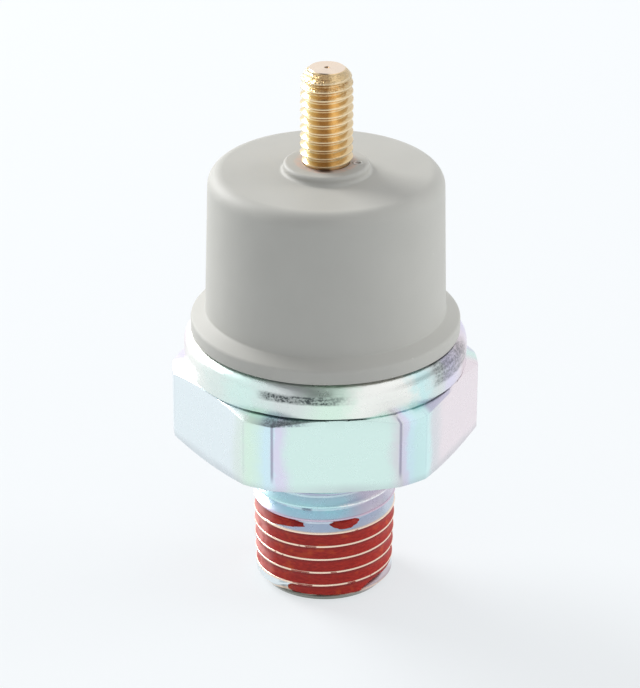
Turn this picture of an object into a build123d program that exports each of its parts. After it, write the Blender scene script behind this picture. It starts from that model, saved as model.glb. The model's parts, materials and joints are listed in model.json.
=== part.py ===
from build123d import *
import math
import os

# Oil pressure sender of the resistance type: a plated steel body with a taper thread, a moulded
# cap with one brass stud, and between them a diaphragm that swings a wiper along a wound card.
# Millimetres, +Z up. The origin is the centre of the stem's end face, on the body's axis.
# Sizes run from the mechanism outwards: the cap clears the mechanism, and the ring and the
# hexagon are built round the cap.

# Stem, for a quarter-inch taper pipe thread of 18 threads to the inch
stem_length = 15.27
stem_tip_radius = 6.45
stem_taper = 1 / 32
stem_chamfer = 0.8
stem_chamfer_width = 0.7
neck_length = 2.4
neck_undercut = 0.65
port_radius = 2.6
port_depth = 9.0
port_countersink = 0.4
passage_radius = 1.5

# Sealant, which fills the thread's grooves and here lies in a band as deep as their mean
sealant_start = 1.2
sealant_length = 8.4
sealant_depth = 0.5

# Restrictor pressed into the port
restrictor_length = 3.0
restrictor_hole_radius = 0.4
restrictor_mouth_radius = 1.2

# Hexagon
hex_height = 7.38
hex_corner = 1.25
hex_top_chamfer = 0.5
hex_bottom_chamfer = 0.4
hex_bottom_rim = 0.1

# Rolled ring that holds the cap
ring_step = 0.7
ring_wall = 1.03
ring_height = 3.2
ring_roll = 1.2
ring_overhang = 0.13
ring_foot_groove = 0.15
lip_thickness = 0.85
lip_round = 0.3

# Chamber and seats inside the body
floor_thickness = 2.1
chamber_radius = 8.0
chamber_depth = 1.0
seat_depth = 3.53
seal_land = 1.0
seal_groove_width = 1.4
seal_groove_depth = 0.95
seal_round = 0.42

# Diaphragm
diaphragm_thickness = 0.15
corrugation_rise = 0.25
corrugation_count = 3
corrugation_margin = 0.4

# Spring housing, a pressed dish that clamps the diaphragm
housing_thickness = 0.7
housing_flange = 0.8
housing_height = 4.18
housing_corner = 0.6
housing_inner_corner = 0.3

# Pusher and its coil spring
pusher_travel = 0.8
pusher_foot = 0.7
pusher_foot_rim = 0.73
pusher_stem_radius = 1.0
pusher_boss_step = 0.55
pusher_tip_radius = 0.5
pusher_tip_length = 2.6
pusher_edge = 0.12
range_spring_wire = 0.44
range_spring_slack = 0.28
range_spring_turns = 3.5

# Frame with two ears and a tab for the card
frame_thickness = 0.7
frame_rim = 0.04
ear_thickness = 0.8
ear_wall = 0.95
tab_height = 2.3
tab_gap = 0.2
frame_rivet_radius = 0.7
frame_rivet_edge = 2.4
frame_rivet_angles = (100, 220, 320)
rivet_head = 0.4
rivet_head_ratio = 1.7
rivet_dome = 0.8

# Lever, whose short arm rests on the pusher and whose long arm carries the wiper
short_arm = 1.9
lever_thickness = 0.6
cheek_gap = 0.9
cheek_reach = 2.3
hub_wall = 0.6
crown_gap = 0.125
lever_tail = 1.9
arm_half_width = 1.1
arm_taper = 0.8
pivot_radius = 0.75
pin_head_step = 0.4
pin_head = 0.35

# Adjusting screw and its nut in the short arm
screw_radius = 1.0
screw_end = 0.6
screw_tip_radius = 0.5
screw_slot = 0.4
screw_slot_depth = 0.45
nut_wall = 0.7
nut_height = 0.8

# Wiper blade
blade_thickness = 0.25
blade_pad = 2.2
blade_depth = 1.0
blade_reach = 1.2
contact_radius = 0.45
contact_height = 0.35
flap_margin = 1.4
wiper_rivet_radius = 0.45
wiper_rivet_spacing = 1.1

# Spring round the pivot
lever_spring_wire = 0.25
lever_spring_slack = 0.275
lever_spring_turns = 3
lever_spring_pitch = 0.28

# Resistance card and its winding
card_width = 2.6
card_thickness = 0.8
card_rivet_radius = 0.6
winding_margin = 0.73
winding_pitch = 0.3125
winding_thickness = 0.25
winding_groove = 0.1
winding_ridge = 0.19
lead_width = 0.24
lead_length = 0.6
lead_offset = 0.65

# Terminal strip from the card to the stud
strip_thickness = 0.25
strip_half_width = 1.1
strip_foot = 2.5
strip_rise = 1.73
strip_contact = 1.2

# Cap
cap_bore_gap = 0.33
cap_wall = 2.1
cap_draft = 0.34
cap_step = 0.17
cap_shoulder_gap = 0.1
cap_flange_setback = 0.645
cap_flange_height = 1.28
cap_flange_slope = 0.75
cap_flange_round = 0.375
cap_foot_round = 0.25
cap_edge_round = 1.45
cap_inner_round = 0.7
cap_shoulder_round = 0.4
cap_top_thickness = 2.3
gasket_thickness = 0.68
stud_boss_wall = 1.537
stud_boss_height = 0.8
stud_boss_round = 0.35
inner_boss_wall = 1.1
inner_boss_height = 2.4

# Stud, for a number 10 thread of 32 to the inch
stud_radius = 2.413
stud_length = 9.1
stud_neck_radius = 2.1
stud_neck_height = 0.35
stud_tip_chamfer = 0.6
stud_tip_chamfer_width = 0.663
stud_hex_step = 0.787
stud_hex_height = 1.7
stud_hex_cover = 0.9
stud_end_radius = 2.0
stud_end_height = 0.9

# Clearances
running_gap = 0.03
slide_gap = 0.05
seat_gap = 0.02
fit_gap = 0.01
lip_gap = 0.1
ear_gap = 0.1

# Pusher and lever: the lever swings as far above its middle as below it, and rests at the bottom
pusher_boss_radius = pusher_stem_radius + pusher_boss_step
range_spring_radius = pusher_boss_radius + range_spring_slack + range_spring_wire / 2
pusher_foot_radius = range_spring_radius + range_spring_wire / 2 + pusher_foot_rim
diaphragm_flat_radius = pusher_foot_radius + corrugation_margin
swing = 2 * math.degrees(math.asin(pusher_travel / 2 / short_arm))
half_swing = math.radians(swing / 2)
pivot_x = -short_arm
lever_spring_radius = pivot_radius + lever_spring_slack + lever_spring_wire / 2
lever_underside = lever_spring_radius + lever_spring_wire / 2 + crown_gap
lever_crown = lever_underside + lever_thickness
lever_half_width = pusher_stem_radius + cheek_gap + lever_thickness
cheek_length = short_arm + cheek_reach
hub_radius = pivot_radius + hub_wall
pad_start = cheek_length + arm_taper
arm_length = pad_start + blade_pad
wiper_arm = arm_length + blade_reach
ear_inner = lever_half_width + ear_gap
ear_outer = ear_inner + ear_thickness

# Card, beside the sweep of the wiper's contact
winding_length = 2 * (wiper_arm * math.sin(half_swing) + winding_margin)
blade_face = arm_half_width + blade_thickness
winding_face = blade_face + contact_height + running_gap
card_front = winding_face + winding_thickness
card_back = card_front + card_thickness
card_x = pivot_x + wiper_arm * (1 + math.cos(half_swing)) / 2
tab_front = card_back + seat_gap
tab_back = tab_front + frame_thickness
frame_radius = math.hypot(card_x + card_width / 2, tab_back) + frame_rim

# Radii from the mechanism out to the hexagon
housing_radius = chamber_radius + housing_thickness
frame_rivet_circle = housing_radius - frame_rivet_edge
cap_bore = max(housing_radius, frame_radius) + cap_bore_gap
cap_base_radius = cap_bore + cap_wall
cap_top_radius = cap_base_radius - cap_draft
clamped_radius = cap_base_radius + cap_step
seat_radius = clamped_radius + lip_gap
lip_radius = seat_radius + lip_gap
ring_bore = seat_radius + ring_step
ring_radius = ring_bore + ring_wall
cap_flange_radius = ring_radius - cap_flange_setback
hex_flat_radius = ring_radius - ring_overhang
hex_turned_radius = hex_flat_radius + hex_corner

# Heights of the body's seats, each worked out from the one below
hex_top = stem_length + hex_height
ring_foot = hex_top + ring_foot_groove
ring_top = hex_top + ring_height
lip_bottom = ring_top - lip_thickness
chamber_floor = stem_length + floor_thickness
seat_floor = chamber_floor + chamber_depth
seat_top = seat_floor + seat_depth
sealant_end = sealant_start + sealant_length

# Heights of what is stacked inside
diaphragm_top = seat_floor + diaphragm_thickness
foot_top = diaphragm_top + pusher_foot
flange_top = diaphragm_top + housing_flange
housing_top = diaphragm_top + housing_height
housing_ceiling = housing_top - housing_thickness
boss_top = housing_ceiling - pusher_travel - seat_gap
frame_top = housing_top + frame_thickness
winding_bottom = frame_top + tab_height + tab_gap
winding_top = winding_bottom + winding_length
pivot_z = winding_bottom + winding_length / 2
pusher_top = pivot_z - short_arm * math.sin(half_swing) - screw_tip_radius - seat_gap
card_rivet_z = frame_top + tab_height / 2
foot_bottom = winding_top + lead_length
card_top = foot_bottom + strip_foot
terminal_rivet_z = card_top - strip_foot / 2
strip_bottom = card_top + seat_gap
strip_top = strip_bottom + strip_thickness

# Heights of the cap and the stud
skirt_bottom = flange_top + gasket_thickness
shoulder_bottom = seat_top + cap_shoulder_gap
flange_bottom = ring_top + lip_gap
flange_side_top = flange_bottom + cap_flange_height
wall_foot = flange_side_top + cap_flange_slope
stud_inner_end = strip_top + strip_rise + seat_gap
inner_boss_bottom = stud_inner_end + stud_end_height
cap_ceiling = inner_boss_bottom + inner_boss_height
cap_top = cap_ceiling + cap_top_thickness
boss_height = cap_top + stud_boss_height
stud_hex_bottom = inner_boss_bottom + stud_hex_cover
stud_hex_top = stud_hex_bottom + stud_hex_height
stud_hex = 2 * (stud_radius + stud_hex_step)
stud_thread_bottom = boss_height + stud_neck_height
stud_top = boss_height + stud_length


def stem_radius(height):
    """Radius over the thread's crests at a height above the end face."""
    return stem_tip_radius + stem_taper * height


def turned(points, rounds=()):
    """Solid turned about Z from an outline of (radius, height) corners, some of them rounded."""
    outline = make_face(Polyline(*points, close=True))
    for corner, radius in rounds:
        outline = fillet(outline.vertices().sort_by_distance((*corner, 0))[0], radius)
    return revolve(Plane.XZ * outline, Axis.Z)


def tube(outer, inner, bottom, top):
    """Plain ring between two heights."""
    return turned([(inner, bottom), (outer, bottom), (outer, top), (inner, top)])


def upright(outline, near, far):
    """Plate cut to an outline of (x, z), between two places along Y."""
    return Pos(0, far, 0) * extrude(Plane.XZ * outline, amount=far - near)


def flat(outline, bottom, top):
    """Plate cut to an outline of (x, y), between two heights."""
    return Pos(0, 0, bottom) * extrude(outline, amount=top - bottom)


def corners(*points):
    """Flat outline through its corner points."""
    return make_face(Polyline(*points, close=True))


def riveted(radius, low, high, head, ratio=rivet_head_ratio):
    """Rivet on the Z axis, with a domed head under and over what it holds."""
    wide = radius * ratio
    points = [(0, low - head), (wide, low - head), (wide, low), (radius, low)]
    points += [(radius, high), (wide, high), (wide, high + head), (0, high + head)]
    rounds = [((wide, low - head), head * rivet_dome), ((wide, high + head), head * rivet_dome)]
    return turned(points, rounds)


def rivet_along_y(x, z, radius, near, far, head, ratio=rivet_head_ratio):
    """The same rivet along Y."""
    return Pos(x, 0, z) * Rot(-90, 0, 0) * riveted(radius, near, far, head, ratio)


def hexagon(across_flats, bottom, top):
    """Six-sided bar on the Z axis, with a flat towards -Y."""
    return flat(RegularPolygon(across_flats / 2, 6, major_radius=False), bottom, top)


def at_rest(piece):
    """Moves a piece of the lever from its middle position, pivot at the origin, to rest."""
    return Pos(pivot_x, 0, pivot_z) * Rot(0, swing / 2, 0) * piece


def coil(radius, wire, pitch, height):
    """Round wire wound about Z, right-handed, from +X at height zero."""
    path = Helix(pitch, height, radius)
    return sweep(Plane(path @ 0, z_dir=path % 0) * Circle(wire / 2), path=path, is_frenet=True)


def threaded_body():
    groove_radius = hex_flat_radius - ring_foot_groove
    seal_inner = chamber_radius + seal_land
    seal_outer = seal_inner + seal_groove_width
    seal_floor = seat_floor - seal_groove_depth
    neck_bottom = stem_length - neck_length
    neck_radius = stem_radius(neck_bottom) - neck_undercut
    stem = [
        (port_radius + port_countersink, 0),
        (stem_tip_radius - stem_chamfer_width, 0),
        (stem_radius(stem_chamfer), stem_chamfer),
        (stem_radius(sealant_start), sealant_start),
        (stem_radius(sealant_start) - sealant_depth, sealant_start),
        (stem_radius(sealant_end) - sealant_depth, sealant_end),
        (stem_radius(sealant_end), sealant_end),
        (stem_radius(neck_bottom), neck_bottom),
        (neck_radius, neck_bottom + neck_undercut),
        (neck_radius, stem_length),
    ]
    head = [
        (hex_flat_radius - hex_bottom_rim, stem_length),
        (hex_turned_radius, stem_length + hex_bottom_chamfer),
        (hex_turned_radius, hex_top - hex_top_chamfer),
        (hex_flat_radius, hex_top),
        (groove_radius, hex_top),
        (groove_radius, ring_foot),
        (ring_radius, ring_foot),
        (ring_radius, ring_top),
        (lip_radius, ring_top),
        (lip_radius, lip_bottom),
        (ring_bore, lip_bottom),
        (ring_bore, seat_top),
    ]
    inside = [
        (seat_radius, seat_top),
        (seat_radius, seat_floor),
        (seal_outer, seat_floor),
        (seal_outer, seal_floor),
        (seal_inner, seal_floor),
        (seal_inner, seat_floor),
        (chamber_radius, seat_floor),
        (chamber_radius, chamber_floor),
        (passage_radius, chamber_floor),
        (passage_radius, port_depth),
        (port_radius, port_depth),
        (port_radius, port_countersink),
    ]
    rounds = [((ring_radius, ring_top), ring_roll), ((ring_bore, lip_bottom), lip_round)]
    bar = flat(Circle(2 * hex_turned_radius), stem_length, hex_top)
    waste = bar - hexagon(2 * hex_flat_radius, stem_length, hex_top)
    return turned(stem + head + inside, rounds) - waste


def thread_sealant():
    inner = -sealant_depth + fit_gap
    return turned([
        (stem_radius(sealant_start) + inner, sealant_start),
        (stem_radius(sealant_start), sealant_start),
        (stem_radius(sealant_end), sealant_end),
        (stem_radius(sealant_end) + inner, sealant_end),
    ])


def port_restrictor():
    bottom = port_depth - restrictor_length
    outer = port_radius - fit_gap
    cone = restrictor_mouth_radius - restrictor_hole_radius
    return turned([
        (restrictor_mouth_radius, bottom),
        (outer, bottom),
        (outer, port_depth),
        (restrictor_hole_radius, port_depth),
        (restrictor_hole_radius, bottom + cone),
    ])


def sealing_ring():
    inner = chamber_radius + seal_land + slide_gap
    outer = inner + seal_groove_width - 2 * slide_gap
    bottom = seat_floor - seal_groove_depth
    points = [(inner, bottom), (outer, bottom), (outer, seat_floor), (inner, seat_floor)]
    return turned(points, [(point, seal_round) for point in points])


def diaphragm():
    """Thin disc, clamped at its rim, with rings of corrugation round a flat centre."""
    waves = 2 * corrugation_count
    width = (chamber_radius - corrugation_margin - diaphragm_flat_radius) / waves

    def skin(height):
        edges = [Line((0, height), (diaphragm_flat_radius, height))]
        for wave in range(waves):
            start = diaphragm_flat_radius + wave * width
            end = start + width
            crest = (start + width / 2, height + corrugation_rise * (-1) ** wave)
            edges.append(ThreePointArc((start, height), crest, (end, height)))
        edges.append(Line((end, height), (clamped_radius, height)))
        return edges

    ends = [Line((radius, seat_floor), (radius, diaphragm_top)) for radius in (0, clamped_radius)]
    return revolve(Plane.XZ * make_face(skin(seat_floor) + skin(diaphragm_top) + ends), Axis.Z)


def frame_rivet_places():
    return [Rot(0, 0, angle) * Pos(frame_rivet_circle, 0, 0) for angle in frame_rivet_angles]


def spring_housing():
    hole = pusher_stem_radius + slide_gap
    inner_corner = (chamber_radius, housing_ceiling)
    outer_corner = (housing_radius, housing_top)
    points = [
        (hole, housing_ceiling),
        inner_corner,
        (chamber_radius, diaphragm_top),
        (clamped_radius, diaphragm_top),
        (clamped_radius, flange_top),
        (housing_radius, flange_top),
        outer_corner,
        (hole, housing_top),
    ]
    dish = turned(points, [(inner_corner, housing_inner_corner), (outer_corner, housing_corner)])
    for place in frame_rivet_places():
        dish -= place * tube(frame_rivet_radius + fit_gap, 0, housing_ceiling, housing_top)
    return dish


def pusher():
    step = pusher_top - pusher_tip_length
    return turned([
        (0, diaphragm_top),
        (pusher_foot_radius, diaphragm_top),
        (pusher_foot_radius, foot_top),
        (pusher_boss_radius, foot_top),
        (pusher_boss_radius, boss_top),
        (pusher_stem_radius, boss_top),
        (pusher_stem_radius, step - pusher_edge),
        (pusher_stem_radius - pusher_edge, step),
        (pusher_tip_radius, step),
        (pusher_tip_radius, pusher_top - pusher_edge),
        (pusher_tip_radius - pusher_edge, pusher_top),
        (0, pusher_top),
    ])


def range_spring():
    """Coil between the pusher's foot and the housing, with its ends ground flat."""
    height = housing_ceiling - foot_top
    wound = coil(range_spring_radius, range_spring_wire, height / range_spring_turns, height)
    wide = range_spring_radius + range_spring_wire
    return Pos(0, 0, foot_top) * wound & tube(wide, 0, foot_top, housing_ceiling)


def mechanism_frame():
    """Pressed plate with two upright ears for the pivot and a tab for the card."""
    frame = tube(frame_radius, pusher_stem_radius + slide_gap, housing_top, frame_top)
    ear_width = pivot_radius + ear_wall
    ear = Pos(pivot_x, (frame_top + pivot_z) / 2) * Rectangle(2 * ear_width, pivot_z - frame_top)
    ear += Pos(pivot_x, pivot_z) * Circle(ear_width)
    ear -= Pos(pivot_x, pivot_z) * Circle(pivot_radius + fit_gap)
    frame += upright(ear, ear_inner, ear_outer)
    frame += upright(ear, -ear_outer, -ear_inner)
    tab = Pos(card_x, frame_top + tab_height / 2) * Rectangle(card_width, tab_height)
    tab -= Pos(card_x, card_rivet_z) * Circle(card_rivet_radius + fit_gap)
    frame += upright(tab, tab_front, tab_back)
    for place in frame_rivet_places():
        frame -= place * tube(frame_rivet_radius + fit_gap, 0, housing_top, frame_top)
    return frame


def frame_rivets():
    rivet = riveted(frame_rivet_radius, housing_ceiling, frame_top, rivet_head)
    return Compound([(place * rivet).solid() for place in frame_rivet_places()])


def pivot_pin():
    ratio = (pivot_radius + pin_head_step) / pivot_radius
    return rivet_along_y(pivot_x, pivot_z, pivot_radius, -ear_outer, ear_outer, pin_head, ratio)


def wiper_lever():
    """Pressed channel that straddles the pin, with a flat arm running out to the wiper."""
    cheek = corners(
        (-hub_radius, 0),
        (hub_radius, 0),
        (cheek_length, lever_underside - lever_thickness),
        (cheek_length, lever_underside),
        (-lever_tail, lever_underside),
    )
    cheek += Circle(hub_radius)
    cheek -= Circle(pivot_radius + running_gap)
    crown = corners(
        (-lever_tail, -lever_half_width),
        (cheek_length, -lever_half_width),
        (pad_start, -arm_half_width),
        (arm_length, -arm_half_width),
        (arm_length, arm_half_width),
        (pad_start, arm_half_width),
        (cheek_length, lever_half_width),
        (-lever_tail, lever_half_width),
    )
    crown -= Pos(short_arm, 0) * Circle(screw_radius + fit_gap)
    for x in wiper_rivet_xs():
        crown -= Pos(x, 0) * Circle(wiper_rivet_radius + fit_gap)
    lever = flat(crown, lever_underside, lever_crown)
    for side in (-1, 1):
        faces = sorted((side * (lever_half_width - lever_thickness), side * lever_half_width))
        lever += upright(cheek, *faces)
    return at_rest(lever)


def wiper_rivet_xs():
    middle = arm_length - blade_pad / 2
    return [middle - wiper_rivet_spacing / 2, middle + wiper_rivet_spacing / 2]


def adjusting_screw():
    """Slotted screw through the short arm, with a round tip on the pivot's level."""
    length = lever_crown + nut_height + screw_end
    screw = Sphere(screw_tip_radius)
    screw += tube(screw_tip_radius, 0, 0, screw_radius)
    screw += turned([
        (0, screw_tip_radius),
        (screw_tip_radius, screw_tip_radius),
        (screw_radius, 2 * screw_tip_radius),
        (screw_radius, length),
        (0, length),
    ])
    slot = Rectangle(2 * screw_radius + screw_slot, screw_slot)
    screw -= flat(slot, length - screw_slot_depth, length + screw_slot_depth)
    return at_rest(Pos(short_arm, 0, 0) * screw)


def screw_nut():
    nut = hexagon(2 * (screw_radius + nut_wall), lever_crown, lever_crown + nut_height)
    nut -= tube(screw_radius + fit_gap, 0, lever_crown, lever_crown + nut_height)
    return at_rest(Pos(short_arm, 0, 0) * nut)


def wiper_blade():
    """Springy strip, riveted on the arm, with a flap beside it that carries the contact."""
    top = lever_crown + blade_thickness
    pad = flat(
        corners(
            (pad_start, -arm_half_width),
            (arm_length, -arm_half_width),
            (arm_length, blade_face),
            (pad_start, blade_face),
        ),
        lever_crown,
        top,
    )
    for x in wiper_rivet_xs():
        pad -= Pos(x, 0, 0) * tube(wiper_rivet_radius + fit_gap, 0, lever_crown, top)
    edge = flap_margin * contact_radius
    flap = corners(
        (pad_start, lever_crown - blade_depth),
        (wiper_arm - edge, -edge),
        (wiper_arm + edge, -edge),
        (wiper_arm + edge, edge),
        (arm_length, top),
        (pad_start, top),
    )
    blade = pad + upright(flap, arm_half_width + fit_gap, blade_face)
    rim = (contact_radius, contact_height)
    dimple = turned([(0, 0), (contact_radius, 0), rim, (0, contact_height)], [(rim, contact_height / 2)])
    blade += Pos(wiper_arm, blade_face, 0) * Rot(-90, 0, 0) * dimple
    return at_rest(blade)


def wiper_rivets():
    rivet = riveted(wiper_rivet_radius, lever_underside, lever_crown + blade_thickness, rivet_head)
    return Compound([at_rest(Pos(x, 0, 0) * rivet).solid() for x in wiper_rivet_xs()])


def lever_spring():
    """Coil on the pivot pin: one leg lifts the lever's tail, the other stands on the frame."""
    length = lever_spring_turns * lever_spring_pitch
    wire = lever_spring_wire / 2
    tail = lever_underside + (lever_spring_radius - wire) * math.sin(half_swing)
    wound = Helix(lever_spring_pitch, length, lever_spring_radius)
    upper = Line(wound @ 0 - (wound % 0) * (tail / math.cos(half_swing) - seat_gap), wound @ 0)
    lower = Line(wound @ 1, wound @ 1 + (wound % 1) * (pivot_z - frame_top - seat_gap))
    path = Wire([upper, wound, lower])
    spring = Rot(0, 0, 180) * sweep(Plane(path @ 0, z_dir=path % 0) * Circle(wire), path=path)
    return Plane((pivot_x, length / 2, pivot_z), x_dir=(1, 0, 0), z_dir=(0, -1, 0)) * spring


def resistance_card():
    bottom = frame_top + seat_gap
    card = Pos(card_x, (bottom + card_top) / 2) * Rectangle(card_width, card_top - bottom)
    for z in (card_rivet_z, terminal_rivet_z):
        card -= Pos(card_x, z) * Circle(card_rivet_radius + fit_gap)
    return upright(card, card_front, card_back)


def resistance_winding():
    """Fine wire wound side by side round the card, with its end led up to the strip."""
    middle = Pos(card_x, (card_front + card_back) / 2)
    turns = int(winding_length / winding_pitch)

    def band(thickness, bottom, top):
        wide = card_width + 2 * thickness
        deep = card_thickness + 2 * thickness
        return flat(middle * RectangleRounded(wide, deep, thickness), bottom, top)

    winding = band(winding_thickness - winding_groove, winding_bottom, winding_top)
    for turn in range(turns):
        bottom = winding_bottom + turn * winding_pitch + (winding_pitch - winding_ridge) / 2
        winding += band(winding_thickness, bottom, bottom + winding_ridge)
    hole = middle * Rectangle(card_width + 2 * fit_gap, card_thickness + 2 * fit_gap)
    winding -= flat(hole, winding_bottom, winding_top)
    lead = Rectangle(lead_width, winding_thickness - 2 * fit_gap)
    lead = Pos(card_x - lead_offset, winding_face + winding_thickness / 2) * lead
    return winding + flat(lead, winding_top, foot_bottom)


def card_rivet():
    return rivet_along_y(card_x, card_rivet_z, card_rivet_radius, card_front, tab_back, rivet_head)


def terminal_strip():
    """Sprung strip from the top of the winding, over the card, to the stud's inner end."""
    contact = stud_inner_end - seat_gap
    right = card_x + strip_half_width
    left = card_x - strip_half_width
    over = [(right, strip_top), (left, strip_top), (strip_contact, contact), (-strip_contact, contact)]
    under = [(x, z - strip_thickness) for x, z in reversed(over)]
    strip = upright(corners(*over, *under), -strip_half_width, strip_half_width)
    shelf = corners((left, 0), (right, 0), (right, card_front), (left, card_front))
    strip += flat(shelf, strip_bottom, strip_top)
    foot = Rectangle(2 * strip_half_width, strip_top - foot_bottom)
    foot = Pos(card_x, (foot_bottom + strip_top) / 2) * foot
    foot -= Pos(card_x, terminal_rivet_z) * Circle(card_rivet_radius + fit_gap)
    return strip + upright(foot, card_front - strip_thickness, card_front - fit_gap)


def terminal_rivet():
    near = card_front - strip_thickness
    return rivet_along_y(card_x, terminal_rivet_z, card_rivet_radius, near, card_back, rivet_head)


def terminal_stud():
    """Screwed stud whose six-sided head and neck are moulded into the cap."""
    stud = turned([
        (0, stud_hex_top),
        (stud_neck_radius, stud_hex_top),
        (stud_neck_radius, stud_thread_bottom),
        (stud_radius, stud_thread_bottom),
        (stud_radius, stud_top - stud_tip_chamfer),
        (stud_radius - stud_tip_chamfer_width, stud_top),
        (0, stud_top),
    ])
    stud += hexagon(stud_hex, stud_hex_bottom, stud_hex_top)
    return stud + tube(stud_end_radius, 0, stud_inner_end, stud_hex_bottom)


def cap():
    """Moulded cover: a clamped shoulder inside the ring, a flange over it and a tapered wall."""
    shoulder_radius = ring_bore - slide_gap
    shoulder_top = lip_bottom - seat_gap
    inner_top = cap_top_radius - cap_wall
    inner_boss_radius = stud_hex / math.sqrt(3) + inner_boss_wall
    stud_boss_radius = stud_radius + stud_boss_wall
    points = [
        (0, inner_boss_bottom),
        (inner_boss_radius, inner_boss_bottom),
        (inner_boss_radius, cap_ceiling),
        (inner_top, cap_ceiling),
        (cap_bore, wall_foot),
        (cap_bore, skirt_bottom),
        (clamped_radius, skirt_bottom),
        (clamped_radius, shoulder_bottom),
        (shoulder_radius, shoulder_bottom),
        (shoulder_radius, shoulder_top),
        (clamped_radius, shoulder_top),
        (clamped_radius, flange_bottom),
        (cap_flange_radius, flange_bottom),
        (cap_flange_radius, flange_side_top),
        (cap_base_radius, wall_foot),
        (cap_top_radius, cap_top),
        (stud_boss_radius, cap_top),
        (stud_boss_radius, boss_height),
        (0, boss_height),
    ]
    rounds = [
        ((inner_top, cap_ceiling), cap_inner_round),
        ((shoulder_radius, shoulder_top), cap_shoulder_round),
        ((cap_flange_radius, flange_side_top), cap_flange_round),
        ((cap_base_radius, wall_foot), cap_foot_round),
        ((cap_top_radius, cap_top), cap_edge_round),
        ((stud_boss_radius, cap_top), stud_boss_round),
        ((stud_boss_radius, boss_height), stud_boss_round),
    ]
    moulded = turned(points, rounds)
    moulded -= hexagon(stud_hex + 2 * fit_gap, stud_hex_bottom - fit_gap, stud_hex_top + fit_gap)
    moulded -= tube(stud_end_radius + fit_gap, 0, inner_boss_bottom, stud_hex_bottom)
    return moulded - tube(stud_neck_radius + fit_gap, 0, stud_hex_top, boss_height)


def cap_gasket():
    return tube(clamped_radius, cap_bore, flange_top, skirt_bottom)


PIECES = [
    threaded_body,
    thread_sealant,
    port_restrictor,
    sealing_ring,
    diaphragm,
    spring_housing,
    pusher,
    range_spring,
    mechanism_frame,
    frame_rivets,
    pivot_pin,
    wiper_lever,
    adjusting_screw,
    screw_nut,
    wiper_blade,
    wiper_rivets,
    lever_spring,
    resistance_card,
    resistance_winding,
    card_rivet,
    terminal_strip,
    terminal_rivet,
    terminal_stud,
    cap,
    cap_gasket,
]

os.makedirs("parts", exist_ok=True)
for piece in PIECES:
    export_step(piece(), f"parts/{piece.__name__}.step")
print(f"lever swing {swing:.4f} degrees, pivot at x {pivot_x:.3f}, z {pivot_z:.4f}")
print(f"stud thread from {stud_thread_bottom:.4f} to {stud_top - stud_tip_chamfer:.4f}")
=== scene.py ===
import json
import math
from contextlib import contextmanager

import bmesh
import bpy
from mathutils import Matrix, Vector, noise


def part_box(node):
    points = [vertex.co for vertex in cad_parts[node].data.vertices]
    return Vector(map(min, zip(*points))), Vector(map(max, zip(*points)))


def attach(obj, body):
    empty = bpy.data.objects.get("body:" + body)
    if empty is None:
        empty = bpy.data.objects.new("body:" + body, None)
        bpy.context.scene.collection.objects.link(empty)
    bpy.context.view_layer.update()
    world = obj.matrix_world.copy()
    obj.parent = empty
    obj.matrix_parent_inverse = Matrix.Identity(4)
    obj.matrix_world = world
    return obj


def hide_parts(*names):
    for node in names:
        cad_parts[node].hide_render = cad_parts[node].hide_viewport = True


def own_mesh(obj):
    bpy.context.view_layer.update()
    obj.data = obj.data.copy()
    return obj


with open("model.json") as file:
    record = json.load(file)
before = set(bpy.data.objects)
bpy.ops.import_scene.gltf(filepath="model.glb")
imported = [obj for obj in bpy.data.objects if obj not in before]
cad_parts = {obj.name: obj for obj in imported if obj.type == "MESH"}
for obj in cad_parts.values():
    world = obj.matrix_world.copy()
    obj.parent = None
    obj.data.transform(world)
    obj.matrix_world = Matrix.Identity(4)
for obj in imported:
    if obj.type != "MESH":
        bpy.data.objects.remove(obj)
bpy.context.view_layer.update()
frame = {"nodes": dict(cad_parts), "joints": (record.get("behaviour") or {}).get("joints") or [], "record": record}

MM = 0.001
COLUMNS = 240
ARC_STEP = math.radians(9)
MERGE = 0.002 * MM
EXACT = 1e-7
TOUCH = 0.01 * MM
RIM_SLACK = 0.004
SMOOTH_ANGLE = math.radians(28)

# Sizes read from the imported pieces
body_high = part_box("threaded_body")[1]
cap_low, cap_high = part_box("cap")
stud_low, stud_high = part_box("terminal_stud")
range_low, range_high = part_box("range_spring")
lever_spring_low, lever_spring_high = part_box("lever_spring")
gasket_low, gasket_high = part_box("cap_gasket")
diaphragm_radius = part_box("diaphragm")[1].x
seal_low, seal_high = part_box("sealing_ring")
pin_low, pin_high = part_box("pivot_pin")

# Stem and its taper thread
PIPE_PITCH = 1.4111 * MM
PIPE_CREST_HEIGHT = 1.92 * MM
PIPE_DEPTH = 0.85 * MM
PIPE_CREST = 0.075 * MM
PIPE_ROOT = 0.1 * MM
STEM_LENGTH = 15.27 * MM
STEM_TIP_RADIUS = 6.45 * MM
STEM_TAPER = 1 / 32
STEM_CHAMFER = 0.8 * MM
STEM_CHAMFER_WIDTH = 0.7 * MM
NECK_START = 12.87 * MM
NECK_UNDERCUT = 0.65 * MM
NECK_RIM = 0.15 * MM
PORT_RADIUS = 2.6 * MM
PORT_DEPTH = 9.0 * MM
PORT_COUNTERSINK = 0.4 * MM
PASSAGE_RADIUS = 1.5 * MM
THREAD_START_TURN = -0.15
THREAD_FULL_TURN = -0.1
THREAD_FADE_TURN = 7.6
THREAD_END_TURN = 9.4

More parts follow.
